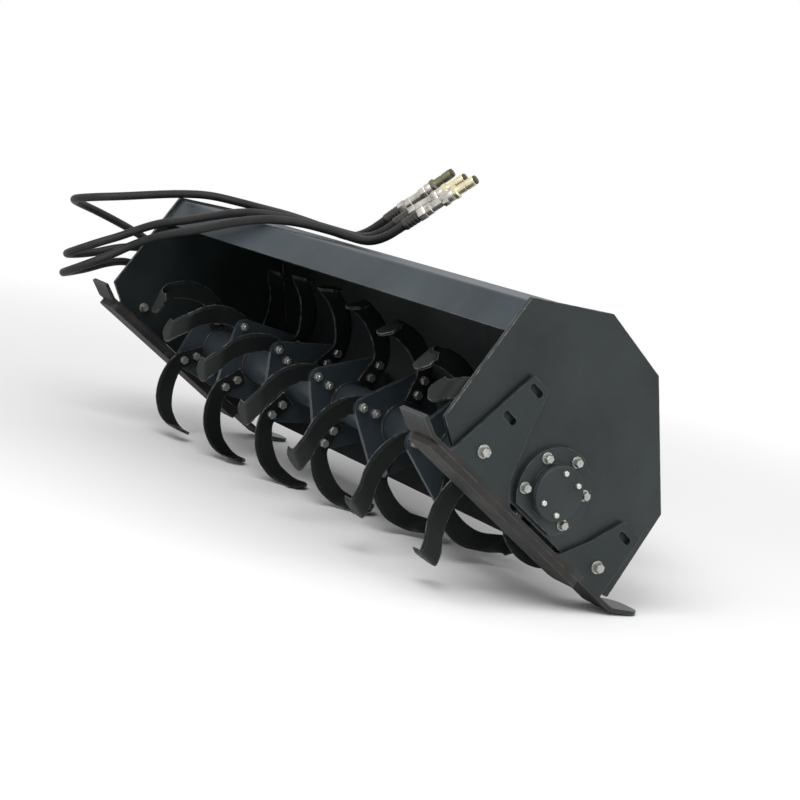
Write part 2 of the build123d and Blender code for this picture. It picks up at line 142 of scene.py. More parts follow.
class Nodes:
    """A node tree, to which every node is added in the same way."""

    def __init__(self, owner: bpy.types.Material | bpy.types.World) -> None:
        """Empty the owner's tree.

        Args:
            owner: The material or world that has the tree.
        """
        owner.use_nodes = True
        self.tree = owner.node_tree
        self.tree.nodes.clear()

    def feed(self, target: bpy.types.NodeSocket, value: Any) -> None:
        """Link a socket to an input, or set the input to a plain value.

        Args:
            target: The input.
            value: What it gets: a Socket, a number, a vector or a colour.
        """
        if isinstance(value, Socket):
            self.tree.links.new(value.link, target)
        elif isinstance(value, tuple) and len(value) == 3 and target.type == "RGBA":
            target.default_value = (*value, 1.0)
        else:
            target.default_value = value

    def node(
        self, kind: str, settings: dict[str, Any], inputs: dict[Any, Any], output: Any = 0
    ) -> Socket | None:
        """Add one node.

        Args:
            kind: The node's type.
            settings: Its properties, set before its sockets.
            inputs: Values or links by socket name or number.
            output: The output to return, by name or number.

        Returns:
            The chosen output, or None from a node that ends the tree.
        """
        made = self.tree.nodes.new(kind)
        for key, value in settings.items():
            setattr(made, key, value)
        for key, value in inputs.items():
            self.feed(made.inputs[key], value)
        return Socket(self, made.outputs[output]) if made.outputs else None

    def rays(self, *kinds: str) -> Socket:
        """1 where light is traced for any of these kinds of ray, and 0 elsewhere.

        Args:
            *kinds: The kinds, as in Camera for the node's Is Camera Ray.

        Returns:
            The mask.
        """
        masks = [self.node("ShaderNodeLightPath", {}, {}, f"Is {kind} Ray") for kind in kinds]
        mask = masks[0]
        for other in masks[1:]:
            mask = mask.math("MAXIMUM", mask, other)
        return mask

    def blended(self, factor: Any, first: Socket, second: Socket) -> Socket:
        """One shader turning into another."""
        return self.node("ShaderNodeMixShader", {}, {0: factor, 1: first, 2: second})


class Shader(Nodes):
    """The node tree of one material, with the few nodes that the finishes share."""

    def __init__(self, name: str) -> None:
        """Start an empty material of that name."""
        self.material = bpy.data.materials.new(name)
        super().__init__(self.material)

    def vector(self, operation: str, first: Any, second: Any = (0.0, 0.0, 0.0), output: Any = 0) -> Socket:
        """Add one Vector Math node and return its result."""
        return self.node("ShaderNodeVectorMath", {"operation": operation}, {0: first, 1: second}, output)

    def normal(self) -> Socket:
        """The way the surface faces."""
        return self.node("ShaderNodeNewGeometry", {}, {}, "Normal")

    def place(self) -> Socket:
        """The point on the object, in metres."""
        return self.node("ShaderNodeTexCoord", {}, {}, "Object")

    def stretched(self, scale: Point) -> Socket:
        """The object's point scaled apart on its axes."""
        return self.vector("MULTIPLY", self.place(), scale)

    def noise(
        self, scale: float, detail: float = 4.0, at: Socket | None = None, rough: float = 0.55
    ) -> Socket:
        """Fractal noise around 0.5, with scale lumps per metre, read at the object's point or another."""
        inputs = {"Vector": at or self.place(), "Scale": scale, "Detail": detail, "Roughness": rough}
        return self.node("ShaderNodeTexNoise", {}, inputs, "Fac")

    def spots(self, scale: float) -> Socket:
        """Distance to the nearest of scattered points, for pits and flecks."""
        return self.node("ShaderNodeTexVoronoi", {}, {"Vector": self.place(), "Scale": scale}, "Distance")

    def facing_up(self) -> Socket:
        """1 on faces that look up, 0 on upright ones and -1 underneath."""
        return self.node("ShaderNodeSeparateXYZ", {}, {0: self.normal()}, "Z")

    def looking_at(self, centre: Point) -> Socket:
        """How far a centre is in front of the face, in metres: below 0 where it is behind."""
        way = self.vector("SUBTRACT", centre, self.place())
        return self.vector("DOT_PRODUCT", way, self.normal(), "Value")

    def along(self, way: Point) -> Socket:
        """How far the point lies along a direction, in metres."""
        return self.vector("DOT_PRODUCT", self.place(), way, "Value")

    def edges(self, radius: float) -> Socket:
        """About 1 up to a radius in metres from sharp edges, and 0 on flat faces."""
        rounded = self.node("ShaderNodeBevel", {"samples": 6}, {"Radius": radius})
        return (1.0 - self.vector("DOT_PRODUCT", rounded, self.normal(), "Value")).band(0.01, 0.16)

    def mixed(self, factor: Any, first: Any, second: Any) -> Socket:
        """A colour between two others. The Mix node's sockets share names, so these are numbers."""
        settings = {"data_type": "RGBA", "clamp_factor": True}
        return self.node("ShaderNodeMix", settings, {0: factor, 6: first, 7: second}, 2)

    def bump(self, height: Socket, depth: float, strength: float) -> Socket:
        """Normals tilted by a height between 0 and 1, depth metres deep."""
        return self.node("ShaderNodeBump", {}, {"Height": height, "Distance": depth, "Strength": strength})

    def surface(self, colour: Any, roughness: Any, metallic: Any, **others: Any) -> Socket:
        """Add the surface itself.

        Args:
            colour: The base colour.
            roughness: Its roughness.
            metallic: How far it is bare metal.
            **others: Bumped normals, or a plain value for another socket, with _ for a space.

        Returns:
            The surface's shader.
        """
        inputs = {"Base Color": colour, "Roughness": roughness, "Metallic": metallic}
        inputs |= {key.replace("_", " "): value for key, value in others.items()}
        return self.node("ShaderNodeBsdfPrincipled", {}, inputs)

    def finish(self, surface: Socket) -> bpy.types.Material:
        """Close the material on its shader."""
        self.node("ShaderNodeOutputMaterial", {}, {"Surface": surface})
        return self.material


# ---- finishes -------------------------------------------------------------------------------


def tinted(colour: Colour, gain: Colour, lift: float = 0.0) -> Colour:
    """A colour with its channels multiplied, and raised by the same amount."""
    return tuple(part * times + lift for part, times in zip(colour, gain))


@dataclass(frozen=True)
class Paint:
    """Sprayed paint on plate steel, with dust, scuffs and edges worn to the metal.

    Where painted_shade_centre gives a place, the faces that look at it get painted shade: they are darkened
    towards a near-black colour, mottled like caked soil, as if in shadow.
    Here and below, relief is how deep the bumps are in metres, and how strongly they show.
    """

    name: str
    colour: Colour
    roughness: float = 0.42
    gloss: float = 0.32
    dust: float = 0.35
    wear: float = 0.35
    scuffs: float = 0.3
    edge: float = 0.0025
    dust_colour: Colour = (0.165, 0.150, 0.128)
    metal_colour: Colour = (0.30, 0.30, 0.29)
    # The colour below is painted shade, laid on the faces that look at the centre given further down, where
    # shadow falls inside the hood.
    painted_shade_colour: Colour = (0.0075, 0.0090, 0.0085)
    relief: Pair = (0.0007, 0.45)
    painted_shade_centre: Point | None = None

    def build(self) -> bpy.types.Material:
        """Make the material.

        Returns:
            The paint as a Blender material.
        """
        shader = Shader(self.name)
        cloudy = shader.noise(3.1, 5.0)
        faded = tinted(self.colour, FADED, 0.006)
        paint = shader.mixed(cloudy.band(0.35, 0.68), tinted(self.colour, DEEPENED), faded)

        lying = shader.facing_up().band(-0.15, 0.95)
        clouds = shader.noise(7.0, 8.0, rough=0.68).band(0.34, 0.78)
        dusty = (clouds * (0.25 + 0.75 * lying) * self.dust).clamped()
        coated = shader.mixed(dusty, paint, self.dust_colour)

        scratches = shader.noise(1.0, 3.0, at=shader.stretched(SCRATCHES)).band(0.64, 0.72)
        rubbed = (scratches * shader.noise(2.3, 2.0).band(0.50, 0.70) * self.scuffs).clamped()
        marked = shader.mixed(rubbed, coated, tinted(self.colour, RUBBED, 0.04))

        ragged = shader.noise(55.0, 6.0).band(0.40, 0.62)
        worn = (shader.edges(self.edge) * ragged * self.wear * 1.6).clamped()
        colour = shader.mixed(worn, marked, self.metal_colour)
        # Painted shade: faces that look at the centre, inside the hood, are darkened towards a near-black
        # colour, mottled by noise.
        if self.painted_shade_centre is not None:
            inside = shader.looking_at(self.painted_shade_centre).band(0.02, 0.06)
            shade_mottle = shader.noise(9.0, 7.0, rough=0.65).band(0.30, 0.62)
            shade_mask = (inside * (0.72 + 0.55 * shade_mottle)).clamped()
            colour = shader.mixed(shade_mask * 0.9, colour, self.painted_shade_colour)

        fine = shader.noise(190.0, 3.0)
        roughness = (self.roughness + 0.28 * dusty + 0.10 * (cloudy - 0.5) - 0.06 * worn).clamped()
        relief = fine * 0.30 + shader.noise(26.0, 4.0) * 0.55 - worn * 0.5
        shine = {"Normal": shader.bump(relief, *self.relief), "Specular_IOR_Level": self.gloss}
        return shader.finish(shader.surface(colour, roughness, worn * 0.75, **shine))


@dataclass(frozen=True)
class ScuffedSteel:
    """Thick steel that drags on the ground: rubbed in lanes, rusty in the low places.

    With a level, only what lies below it along up is scuffed, and the rest keeps its paint.
    """

    name: str
    colour: Colour
    bare: Colour = (0.094, 0.085, 0.074)
    rust: Colour = (0.052, 0.034, 0.022)
    paint: Colour = (0.0098, 0.0150, 0.0153)
    # The light grey of the painted part's rubbed edges: partly wear and partly a painted highlight.
    worn_and_highlight_colour: Colour = (0.15, 0.15, 0.145)
    bare_share: float = 0.5
    gloss: float = 0.32
    relief: Pair = (0.0012, 0.55)
    up: Point = (0.0, 0.0, 1.0)
    level: float | None = None

    def build(self) -> bpy.types.Material:
        """Make the material.

        Returns:
            The steel as a Blender material.
        """
        shader = Shader(self.name)
        lanes = shader.noise(1.0, 5.0, at=shader.stretched(LANES), rough=0.62)
        patches = shader.noise(9.0, 6.0, rough=0.6)
        wear = lanes * 0.55 + patches * 0.45
        bright = wear.band(0.62 - 0.22 * self.bare_share, 0.74 - 0.20 * self.bare_share)
        edge = shader.edges(0.004) * shader.noise(40.0, 5.0).band(0.35, 0.58)
        metal = (bright * 0.75 + edge * 0.8).clamped()
        rusty = shader.noise(21.0, 8.0, rough=0.7).band(0.52, 0.72) * (1.0 - metal * 0.6)
        lighter = tinted(self.colour, (1.5, 1.5, 1.5), 0.006)
        base = shader.mixed(patches.band(0.3, 0.7), self.colour, lighter)
        coated = shader.mixed(rusty * 0.75, base, self.rust)
        colour = shader.mixed(metal, coated, self.bare)
        roughness = 0.62 - 0.22 * metal + 0.2 * rusty
        metallic = metal * 0.6
        pits = shader.spots(150.0).band(0.05, 0.45)
        relief = pits * 0.35 + lanes * 0.65 + shader.noise(70.0, 4.0) * 0.3
        if self.level is not None:
            height = shader.along(self.up) + (shader.noise(30.0, 4.0) - 0.5) * 0.014
            painted = height.band(self.level, self.level + 0.010)
            # On the painted tab, the edges are rubbed to light grey: worn edges, and also a painted highlight
            # along them.
            rubbed = (shader.edges(0.003) * shader.noise(50.0, 5.0).band(0.36, 0.6) * 0.75).clamped()
            faded = tinted(self.paint, (1.3, 1.3, 1.3), 0.003)
            coat = shader.mixed(shader.noise(4.0, 5.0).band(0.35, 0.68), self.paint, faded)
            colour = shader.mixed(painted, colour, shader.mixed(rubbed, coat, self.worn_and_highlight_colour))
            roughness = roughness * (1.0 - painted) + 0.44 * painted
            metallic = metallic * (1.0 - painted) + rubbed * painted * 0.5
            relief = relief * (1.0 - painted * 0.7)
        shine = {"Normal": shader.bump(relief, *self.relief), "Specular_IOR_Level": self.gloss}
        return shader.finish(shader.surface(colour, roughness.clamped(), metallic.clamped(), **shine))


@dataclass(frozen=True)
class Plating:
    """Zinc or brass coloured plating on turned and forged fittings."""

    name: str
    colour: Colour
    tarnish: Colour
    dirt_colour: Colour = (0.05, 0.045, 0.038)
    roughness: float = 0.28
    grime: float = 0.4
    relief: Pair = (0.00025, 0.35)

    def build(self) -> bpy.types.Material:
        """Make the material.

        Returns:
            The plating as a Blender material.
        """
        shader = Shader(self.name)
        cloud = shader.noise(38.0, 6.0, rough=0.62)
        dull = cloud.band(0.42, 0.72) * self.grime
        dirt = (shader.noise(110.0, 5.0).band(0.58, 0.72) * self.grime).clamped()
        plated = shader.mixed(dull, self.colour, self.tarnish)
        colour = shader.mixed(dirt, plated, self.dirt_colour)
        normal = shader.bump(shader.noise(900.0, 2.0) * 0.5 + cloud * 0.5, *self.relief)
        roughness = (self.roughness + 0.25 * dull + 0.3 * dirt).clamped()
        return shader.finish(shader.surface(colour, roughness, 0.92 - 0.6 * dirt, Normal=normal))


@dataclass(frozen=True)
class HoseCover:
    """Wrapped rubber cover of a hydraulic hose, with a cloth mark and grey dust."""

    name: str
    colour: Colour = (0.0064, 0.0068, 0.0070)
    scuff_colour: Colour = (0.027, 0.0265, 0.026)
    dust_colour: Colour = (0.052, 0.052, 0.050)
    gloss: float = 0.34
    relief: Pair = (0.0005, 0.5)

    def build(self) -> bpy.types.Material:
        """Make the material.

        Returns:
            The rubber as a Blender material.
        """
        shader = Shader(self.name)
        wave = {"Vector": shader.place(), "Scale": 190.0}
        wave |= {"Distortion": 3.0, "Detail": 2.0, "Detail Scale": 3.0}
        wrap = shader.node("ShaderNodeTexWave", {"bands_direction": "DIAGONAL"}, wave, "Fac")
        cloth = wrap * 0.55 + shader.noise(420.0, 3.0) * 0.45
        lying = shader.facing_up().band(-0.2, 0.9)
        clouds = shader.noise(16.0, 7.0, rough=0.66).band(0.42, 0.75)
        dusty = (clouds * (0.35 + 0.65 * lying) * 0.55).clamped()
        scuffed = shader.noise(5.0, 5.0).band(0.58, 0.74) * 0.5
        black = shader.mixed(scuffed, self.colour, self.scuff_colour)
        colour = shader.mixed(dusty, black, self.dust_colour)
        roughness = (0.52 + 0.25 * dusty).clamped()
        shine = {"Normal": shader.bump(cloth, *self.relief), "Specular_IOR_Level": self.gloss}
        return shader.finish(shader.surface(colour, roughness, 0.0, **shine))


class Finish(Enum):
    """The finishes on the tiller, by the part of it that wears them."""

    FRAME = Paint("frame_charcoal", (0.0094, 0.0147, 0.0150), dust=0.08, wear=0.62, edge=0.0034)
    MOUNT = Paint("mount_worn", (0.0120, 0.0170, 0.0175), dust=0.14, wear=0.70, scuffs=0.65, edge=0.0040)
    HOOD = Paint("hood_slate", (0.0215, 0.0338, 0.0425), 0.46, dust=0.12, wear=0.50, scuffs=0.34)
    ROTOR = Paint("rotor_dark", (0.0215, 0.0310, 0.0380), 0.36, dust=0.10, wear=0.60, scuffs=0.35)
    TINES = Paint("tine_black", (0.0058, 0.0076, 0.0080), 0.48, 0.14, dust=0.04, wear=0.70, edge=0.0035)
    CASTING = Paint("bearing_casting", (0.0112, 0.0166, 0.0170), 0.47, dust=0.09, wear=0.42, edge=0.0022)
    MOTOR = Paint("motor_black", (0.013, 0.013, 0.0135), 0.36, dust=0.16, wear=0.3)
    CAP = Paint("cap_olive", (0.050, 0.047, 0.018), 0.5, dust=0.2, wear=0.1, scuffs=0.2)
    WELD = Paint("weld_bead", (0.0160, 0.0185, 0.0195), dust=0.1, wear=0.2, edge=0.0008)
    SKID_SOLE = ScuffedSteel("sole_steel", (0.0100, 0.0108, 0.0104), bare_share=0.22)
    ZINC = Plating("zinc_plate", (0.60, 0.61, 0.58), (0.36, 0.365, 0.345), roughness=0.34, grime=0.45)
    DULL_BOLT = Plating("dull_bolt", (0.42, 0.43, 0.405), (0.20, 0.205, 0.190), roughness=0.40, grime=0.6)
    FERRULE = Plating("dark_ferrule", (0.085, 0.082, 0.078), (0.040, 0.038, 0.036), roughness=0.38, grime=0.5)
    SLEEVE = Plating("sleeve_plate", (0.60, 0.58, 0.53), (0.17, 0.145, 0.115), grime=0.72)
    BRASS = Plating("cream_plate", (0.80, 0.73, 0.50), (0.36, 0.28, 0.13), roughness=0.27, grime=0.50)
    # A copy of the cream plating at a quarter of its brightness: painted shade, for the tip of coupler 1,
    # which lies behind in shadow.
    BRONZE = Plating("brass_painted_shade", (0.20, 0.185, 0.13), (0.10, 0.09, 0.06), roughness=0.36, grime=0.5)
    HOSE = HoseCover("hose_cover")

    def material(self) -> bpy.types.Material:
        """The material, made once and shared by every piece that wears it."""
        return bpy.data.materials.get(self.value.name) or self.value.build()


# ---- places and meshes ----------------------------------------------------------------------


def placed(name: str, data: bpy.types.ID) -> bpy.types.Object:
    """Put new data in the scene.

    Args:
        name: The object's name.
        data: Its mesh, curve, lamp or camera.

    Returns:
        The new object.
    """
    made = bpy.data.objects.new(name, data)
    bpy.context.scene.collection.objects.link(made)
    return made


class Machine:
    """The level machine's own axes, as they lie in the parked tiller.

    AXIS is the Y and Z of the rotor's axle.
    """

    AXIS: Pair = (278.0, 84.0)

    def __init__(self, frame: dict[str, Any]) -> None:
        """Read the rotor's place and the parked tilt from the joints.
        """
        joints = {joint["name"]: joint for joint in frame["joints"]}
        up = -Vector(joints["skid_right_drop"]["axis"]).normalized()
        rear = Vector((0.0, up.z, -up.y))
        self.turn = Matrix(((1.0, 0.0, 0.0), (0.0, rear.y, up.y), (0.0, rear.z, up.z)))
        self.rotor = Vector(joints["rotor_spin"]["pos_m"])
        self.nodes: dict[str, bpy.types.Object] = frame["nodes"]

    def point(self, x: float, y: float, z: float) -> Vector:
        """A machine point in metres of the parked tiller."""
        return self.rotor + self.turn @ ((Vector((x, y, z)) - Vector((0.0, *self.AXIS))) * MM)

    def way(self, x: float, y: float, z: float) -> Vector:
        """A machine direction in the parked tiller, of length 1."""
        return (self.turn @ Vector((x, y, z))).normalized()

    def dress(self, material: bpy.types.Material, *nodes: str) -> None:
        """Give CAD nodes their material.

        Args:
            material: What they are made to wear.
            *nodes: The nodes' names.
        """
        for node in nodes:
            materials = self.nodes[node].data.materials
            materials.clear()
            materials.append(material)


def moved(outline: Sequence[Pair], along: float, out: float = 0.0) -> list[Pair]:
    """An outline for Draft.lathe, moved along its axis and away from it."""
    return [(place + along, radius + out) for place, radius in outline]


def around(centre: Pair, radius: float, angle: float) -> Pair:
    """The Y and Z of a point round a centre, at an angle in degrees from the rear upwards."""
    turn = math.radians(angle)
    return centre[0] + radius * math.cos(turn), centre[1] + radius * math.sin(turn)


def circle(axis: Vector, side: Vector, count: int, turn: float = 0.0) -> list[Vector]:
    """Directions of length 1 all round an axis.

    Args:
        axis: The axis, of length 1.
        side: The direction to start from, of length 1 and square to it.
        count: How many directions.
        turn: How far the first one is turned from side, in degrees.

    Returns:
        The directions, in order.
    """
    other = axis.cross(side)
    angles = [2.0 * math.pi * i / count + math.radians(turn) for i in range(count)]
    return [side * math.cos(angle) + other * math.sin(angle) for angle in angles]


class Draft:
    """A mesh under construction in the parked tiller's metres."""

    # A bolt head's height and its washer's thickness, as shares of its size across flats.
    HEAD = 0.62
    WASHER = 0.13

    # How much a bead's ripples swell it, the faces round it, and a direction that no bead runs in.
    RIPPLE = 0.12
    BEAD_SIDES = 8
    SKEW = Vector((0.31, 0.62, 0.72))

    def __init__(self, machine: Machine) -> None:
        """Start empty, on a machine whose points it uses."""
        self.machine = machine
        self.mesh = bmesh.new()

    def skin(self, rings: Sequence[Sequence[bmesh.types.BMVert]]) -> None:
        """Close a tube of rings of vertices, with a cap at each end.

        Args:
            rings: The rings, each with the same number of vertices in the same order.
        """
        sides = len(rings[0])
        for low, high in zip(rings, rings[1:]):
            for i in range(sides):
                k = (i + 1) % sides
                self.mesh.faces.new((low[i], low[k], high[k], high[i]))
        self.mesh.faces.new(tuple(reversed(rings[0])))
        self.mesh.faces.new(tuple(rings[-1]))

    def lathe(
        self, start: Vector, axis: Vector, profile: Sequence[Pair], sides: int = 24, turn: float = 0.0
    ) -> None:
        """Turn a closed outline about an axis.

        Args:
            start: The foot of the axis, in metres.
            axis: Its direction.
            profile: (along the axis, radius) in millimetres, foot first.
            sides: Faces round it: 6 makes a hexagon.
            turn: Extra turn about the axis, in degrees.
        """
        axis = axis.normalized()
        outs = circle(axis, axis.orthogonal().normalized(), sides, turn)
        self.skin([
            [self.mesh.verts.new(start + axis * (along * MM) + out * (radius * MM)) for out in outs]
            for along, radius in profile
        ])

    def bolt(self, place: Point, way: Point, across: float, rim: float = 0.0, turn: float = 0.0) -> None:
        """A hex head with a chamfered crown, on a washer where rim gives its radius.

        Args:
            place: The machine's point on the face that it clamps.
            way: The machine's direction in which the head stands out.
            across: Its size across flats, in millimetres.
            rim: The washer's radius in millimetres.
            turn: Its turn about the axis, in degrees.
        """
        start, axis = self.machine.point(*place), self.machine.way(*way)
        base = 0.0
        if rim > 0.0:
            base = across * self.WASHER
            self.lathe(start, axis, ((0.0, rim), (base * 0.7, rim), (base, rim - 0.6)))
        corner, height = across / math.sqrt(3.0), across * self.HEAD
        head = ((base, corner * 0.97), (base + height * 0.82, corner), (base + height, corner * 0.86))
        self.lathe(start, axis, head, 6, turn)

    def bead(self, path: Sequence[Vector], radius: float) -> None:
        """A weld bead: a rippled rod along a path.

        Args:
            path: Points in metres, close enough to show the ripples.
            radius: The rod's radius in millimetres.
        """
        rings = []
        for i, place in enumerate(path):
            before, after = path[max(i - 1, 0)], path[min(i + 1, len(path) - 1)]
            along = (after - before).normalized()
            ripple = self.RIPPLE * math.sin(i * 2.1) + 0.5 * self.RIPPLE * math.sin(i * 0.73)
            swell = radius * (1.0 + ripple)
            outs = circle(along, along.cross(self.SKEW).normalized(), self.BEAD_SIDES)
            rings.append([self.mesh.verts.new(place + out * (swell * MM)) for out in outs])
        self.skin(rings)

    def weld(self, start: Point, end: Point, radius: float, pitch: float = 5.0) -> None:
        """A straight weld bead.

        Args:
            start: The machine's point where it starts.
            end: The one where it ends.
            radius: Its radius in millimetres.
            pitch: The space between its rings, in millimetres.
        """
        first, last = self.machine.point(*start), self.machine.point(*end)
        count = max(2, round((last - first).length / (pitch * MM)))
        self.bead([first.lerp(last, i / count) for i in range(count + 1)], radius)

    def make(self, name: str, body: str, finish: Finish, slot: str, sharp: float = 38.0) -> bpy.types.Object:
        """Close the draft into a piece that rides on a body.

        Args:
            name: The piece's name.
            body: The body that carries it.
            finish: What it is finished in.
            slot: The record's material slot; not used.
            sharp: Edges that turn by more than this many degrees stay crisp.

        Returns:
            The new object.
        """
        bmesh.ops.recalc_face_normals(self.mesh, faces=self.mesh.faces)
        data = bpy.data.meshes.new(name)
        self.mesh.to_mesh(data)
        self.mesh.free()
        piece = placed(name, data)
        data.materials.append(finish.material())
        for polygon in data.polygons:
            polygon.use_smooth = True
        data.set_sharp_from_angle(angle=math.radians(sharp))
        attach(piece, body)
        LOG.info("%s: %d faces", name, len(data.polygons))
        return piece


# ---- studio ---------------------------------------------------------------------------------


@dataclass
class Studio:
    """Pale floor, soft lamps and the camera. Sizes are in metres of the parked tiller.

    A lamp is (name, place, target, side, watts). The floor turns white from floor_clear to
    floor_fade, measured in an oval.
    """

    eye: Point = (4.1523, -2.52355, 0.94422)
    look: Point = (-0.83539, 0.53343, -0.13255)
    right: Point = (0.50875, 0.84169, 0.18087)
    lens: float = 82.73
    floor_radius: float = 14.0
    floor_colour: Colour = (0.93, 0.93, 0.93)
    floor_oval: Point = (0.75, 1.0, 0.0)
    floor_clear: float = 0.84
    floor_fade: float = 3.4
    world_strength: float = 0.62
    lamps: tuple[tuple[str, Point, Point, float, float], ...] = (
        ("key_lamp", (2.2, -2.6, 4.2), (0.0, 0.0, 0.4), 3.0, 150.0),
        ("fill_lamp", (4.6, 1.6, 2.6), (0.6, 0.0, 0.4), 2.6, 60.0),
    )

    def camera(self) -> None:
        """Set the camera up at its eye, with its roll."""
        data = bpy.data.cameras.new("studio_camera")
        data.lens = self.lens
        data.sensor_width = 36.0
        data.clip_end = 60.0
        camera = placed("studio_camera", data)
        look, right = Vector(self.look).normalized(), Vector(self.right).normalized()
        up = right.cross(look)
        turn = Matrix((right, up, -look)).transposed().to_4x4()
        camera.matrix_world = Matrix.Translation(self.eye) @ turn
        bpy.context.scene.camera = camera

    def lamp(self, name: str, place: Point, target: Point, size: float, power: float) -> None:
        """Hang one soft square lamp.

        Args:
            name: The lamp's name.
            place: Where it hangs.
            target: What it points at.
            size: Its side.
            power: Its power in watts.
        """
        data = bpy.data.lights.new(name, "AREA")
        data.shape = "SQUARE"
        data.size = size
        data.energy = power
        lamp = placed(name, data)
        lamp.location = place
        lamp.rotation_euler = (Vector(target) - Vector(place)).to_track_quat("-Z", "Y").to_euler()

    def world(self) -> None:
        """Light the world evenly, white where it is seen directly or mirrored."""
        world = bpy.data.worlds.new("studio_world")
        bpy.context.scene.world = world
        nodes = Nodes(world)
        lit, seen = (
            nodes.node("ShaderNodeBackground", {}, {"Color": WHITE, "Strength": strength})
            for strength in (self.world_strength, 1.0)
        )
        sky = nodes.blended(nodes.rays("Camera", "Glossy", "Transmission"), lit, seen)
        nodes.node("ShaderNodeOutputWorld", {}, {"Surface": sky})

    def floor(self) -> None:
        """Lay a pale floor that keeps the shadow and fades to white further out."""
        mesh = bmesh.new()
        bmesh.ops.create_circle(mesh, cap_ends=True, segments=96, radius=self.floor_radius)
        data = bpy.data.meshes.new("floor")
        mesh.to_mesh(data)
        mesh.free()
        floor = placed("floor", data)
        shader = Shader("floor_pale")
        away = shader.vector("LENGTH", shader.stretched(self.floor_oval), output="Value")
        fade = away.band(self.floor_clear, self.floor_fade)
        roughness = (0.9 + 0.05 * shader.noise(3.0)).clamped()
        pale = shader.surface(self.floor_colour, roughness, 0.0, Specular_IOR_Level=0.1)
        glow = shader.node("ShaderNodeEmission", {}, {"Color": WHITE, "Strength": 1.0})
        data.materials.append(shader.finish(shader.blended(fade * shader.rays("Camera"), pale, glow)))

    def build(self) -> None:
        """Set the whole studio up."""
        self.camera()
        self.world()
        self.floor()
        for lamp in self.lamps:
            self.lamp(*lamp)
        bpy.context.scene.view_settings.view_transform = "Standard"
        LOG.info("studio: camera, floor and lamps")


# ---- sub-assemblies -------------------------------------------------------------------------


@dataclass
class EndPlates:
    """The two side plates, with the welds of the hood and their bolts.

    Depths are inside the hood's outer face. A head or nut is (size across flats, its washer's
    radius).
    """

    machine: Machine
    outer: float = 914.5
    inner: float = 904.5
    hood_line: tuple[Pair, ...] = ((-61, 263), (-62, 346), (125, 454), (321, 437), (560, 224), (577, 30))
    weld_inset: float = 2.0
    stitch_pitch: float = 110.0
    stitch_span: Pair = (0.12, 0.82)
    stitch_depth: float = 7.5
    stitch_radius: float = 3.2
    bead_span: Pair = (0.01, 0.99)
    bead_depth: float = -0.5
    bead_radius: float = 3.0
    bolts: tuple[Pair, ...] = ((62.0, 35.0), (500.0, 31.0))
    bolt_seat: float = 13.1
    head: Pair = (21.0, 15.5)
    nut: Pair = (20.0, 14.5)
    shank: tuple[Pair, ...] = ((-2.0, 6.2), (34.0, 6.2), (36.0, 5.2))

    def welds(self, side: int, name: str) -> None:
        """Run weld stitches along the inside of the hood's ends and a full bead outside.

        Args:
            side: 1 for the right plate and -1 for the left.
            name: The side's name.
        """
        draft = Draft(self.machine)
        x = side * (self.inner - self.weld_inset)
        for first, last in zip(self.hood_line, self.hood_line[1:]):
            length = math.dist(first, last)
            across = ((last[1] - first[1]) / length, (first[0] - last[0]) / length)

            def at(share: float, depth: float) -> Point:
                """The point a share of the way along, and depth inside the hood's outer face."""
                return x, *(a + (b - a) * share + c * depth for a, b, c in zip(first, last, across))

            count = max(1, round(length / self.stitch_pitch))
            for k in range(count):
                ends = (at((k + share) / count, self.stitch_depth) for share in self.stitch_span)
                draft.weld(*ends, self.stitch_radius)
            draft.weld(*(at(share, self.bead_depth) for share in self.bead_span), self.bead_radius)
        draft.make(f"hood_end_welds_{name}", "frame", Finish.WELD, "frame_paint")

    def skid_bolts(self, side: int, name: str) -> None:
        """Put the skid's two bolts through the plate, with their nuts inside.

        Args:
            side: 1 for the right plate and -1 for the left.
            name: The side's name.
        """
        draft = Draft(self.machine)
        outside, inside = side * (self.outer + self.bolt_seat), side * self.inner
        for y, z in self.bolts:
            draft.bolt((outside, y, z), (side, 0, 0), *self.head, turn=17.0 + y)
            draft.lathe(self.machine.point(outside, y, z), self.machine.way(-side, 0, 0), self.shank, 16)
            draft.bolt((inside, y, z), (-side, 0, 0), *self.nut, turn=-y)
        draft.make(f"skid_bolts_{name}", "frame", Finish.DULL_BOLT, "zinc_fitting")

    def build(self) -> None:
        """Dress both plates."""
        for side, name in SIDES:
            self.machine.dress(Finish.FRAME.material(), f"end_plate_{name}")
            self.welds(side, name)
            self.skid_bolts(side, name)


@dataclass
class Hood:
    """The folded hood: its skins and the seam along the top bend."""

    machine: Machine
    half_width: float = 903.0
    seam: Pair = (323.0, 438.5)
    stitches: int = 9
    stitch_span: Pair = (0.2, 0.8)
    stitch_radius: float = 3.6
    ripple_pitch: float = 4.5

    def build(self) -> None:
        """Dress the skins and weld their seam."""
        # The hood's skins get painted shade on the faces that look at the rotor's axle, inside the hood.
        skin = replace(Finish.HOOD.value, name="hood_skin", painted_shade_centre=tuple(self.machine.rotor))
        self.machine.dress(skin.build(), "hood_deck", "hood_rear")
        draft = Draft(self.machine)
        pitch = 2.0 * self.half_width / self.stitches
        for i in range(self.stitches):
            ends = (-self.half_width + (i + share) * pitch for share in self.stitch_span)
            draft.weld(*((x, *self.seam) for x in ends), self.stitch_radius, self.ripple_pitch)
        draft.make("hood_seam_weld", "frame", Finish.WELD, "hood_paint")


def catmull_rom(p: float, q: float, r: float, w: float, t: float) -> float:
    """A number a share t of the way from q to r, on the smooth line through p, q, r and w."""
    bend = (2 * p - 5 * q + 4 * r - w) * t**2 + (3 * q - p - 3 * r + w) * t**3
    return 0.5 * (2 * q + (r - p) * t + bend)


